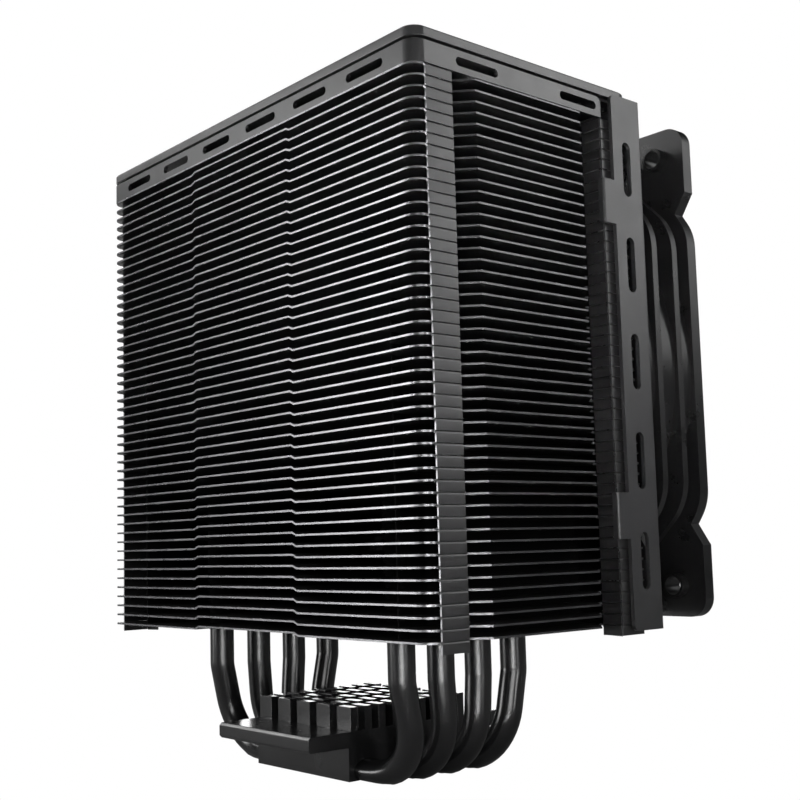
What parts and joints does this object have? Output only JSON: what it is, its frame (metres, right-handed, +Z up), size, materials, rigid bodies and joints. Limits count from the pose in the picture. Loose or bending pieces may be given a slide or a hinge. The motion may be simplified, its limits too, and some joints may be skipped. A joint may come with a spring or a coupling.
{
  "type": "cpu tower cooler",
  "caption": "Black air cooler for a processor: a tower of folded fins on U-shaped heat pipes and a pinned base block, with an axial fan held by two slotted side rails.",
  "frame": {"origin": "middle of the flat face that presses on the processor, under the base block", "axes": "+Z up through the fin tower, +Y the way the air leaves the fins, -Y the fan's intake, X along the heat pipes' run through the base"},
  "size_m": [0.1284, 0.0935, 0.1539],
  "materials": {
    "black_fin": "black satin coating over thin aluminium sheet, cut edges a little brighter",
    "black_cover": "satin black cover",
    "black_pipe": "glossy black coating over copper tube",
    "pipe_wick": "sintered copper powder lining, hidden",
    "black_base": "satin black anodised aluminium",
    "fan_plastic": "fine textured black plastic",
    "blade_plastic": "semi-gloss black plastic",
    "rail_metal": "satin black powder coat",
    "screw_steel": "plated steel",
    "rotor_steel": "drawn steel cup",
    "magnet": "bonded ferrite strip",
    "shaft_steel": "ground steel",
    "bearing_bronze": "oil-filled sintered bronze",
    "lamination": "stacked silicon steel",
    "bobbin_plastic": "moulded insulator",
    "coil_copper": "enamelled copper wire",
    "board": "solder-masked board",
    "label": "blank black label"
  },
  "bodies": {
    "tower": {"base_block": "black_base", "fin_stack": "black_fin", "top_band": "black_cover", "top_cap": "black_cover", "heat_pipe_1": "black_pipe", "heat_pipe_2": "black_pipe", "heat_pipe_3": "black_pipe", "heat_pipe_4": "black_pipe", "pipe_wick_1": "pipe_wick", "pipe_wick_2": "pipe_wick", "pipe_wick_3": "pipe_wick", "pipe_wick_4": "pipe_wick"},
    "fan": {"fan_frame": "fan_plastic", "motor_mount": "fan_plastic", "bearing_sleeve": "bearing_bronze", "thrust_plate": "bobbin_plastic", "stator_core": "lamination", "stator_bobbin": "bobbin_plastic", "stator_coils": "coil_copper", "fan_board": "board", "hub_label": "label", "rail_left": "rail_metal", "rail_right": "rail_metal", "rail_screws": "screw_steel"},
    "rotor": {"impeller": "blade_plastic", "rotor_cup": "rotor_steel", "rotor_magnet": "magnet", "rotor_shaft": "shaft_steel", "shaft_retainer": "bobbin_plastic"}
  },
  "joints": [
    {"name": "fan_height", "type": "slide", "parent": "tower", "child": "fan", "axis": [0, 0, 1], "range_m": [-0.008, 0.012]},
    {"name": "rotor_spin", "type": "hinge", "parent": "fan", "child": "rotor", "pos_m": [0, -0.0477, 0.0926], "axis": [0, 1, 0], "continuous": true}
  ]
}
